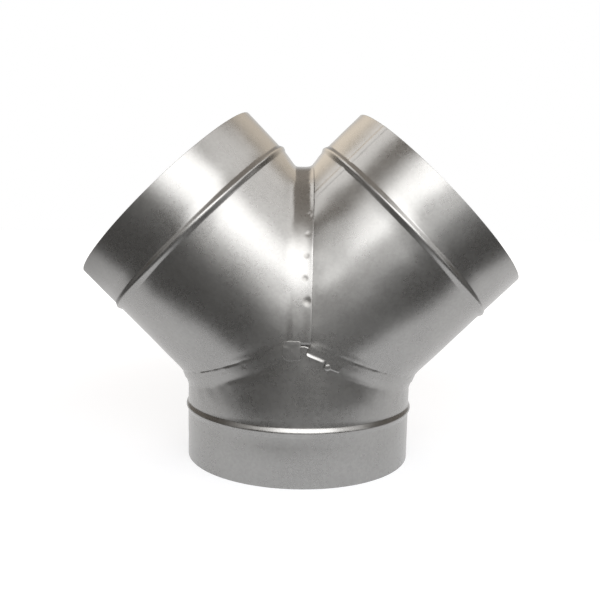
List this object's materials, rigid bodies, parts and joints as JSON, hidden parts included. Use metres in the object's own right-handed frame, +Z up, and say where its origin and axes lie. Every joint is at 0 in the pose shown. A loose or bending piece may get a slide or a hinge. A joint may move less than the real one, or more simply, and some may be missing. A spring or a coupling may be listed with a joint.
{
  "type": "duct y branch",
  "caption": "Round sheet-metal duct fitting that divides a trunk tube into a pair of slanted branch tubes of the same diameter, with beaded spigot ends and lapped mitre seams.",
  "frame": {"origin": "centre of the trunk's rim, which stands on the floor", "axes": "+Z up the trunk's axis, +X towards the right branch, -Y towards the front of the picture"},
  "size_m": [0.4734, 0.2566, 0.377],
  "materials": {
    "galvanised_sheet": "galvanised sheet, satin, with a fine spangle"
  },
  "bodies": {
    "root": {"trunk_tube": "galvanised_sheet", "left_branch_tube": "galvanised_sheet", "right_branch_tube": "galvanised_sheet"}
  },
  "joints": []
}
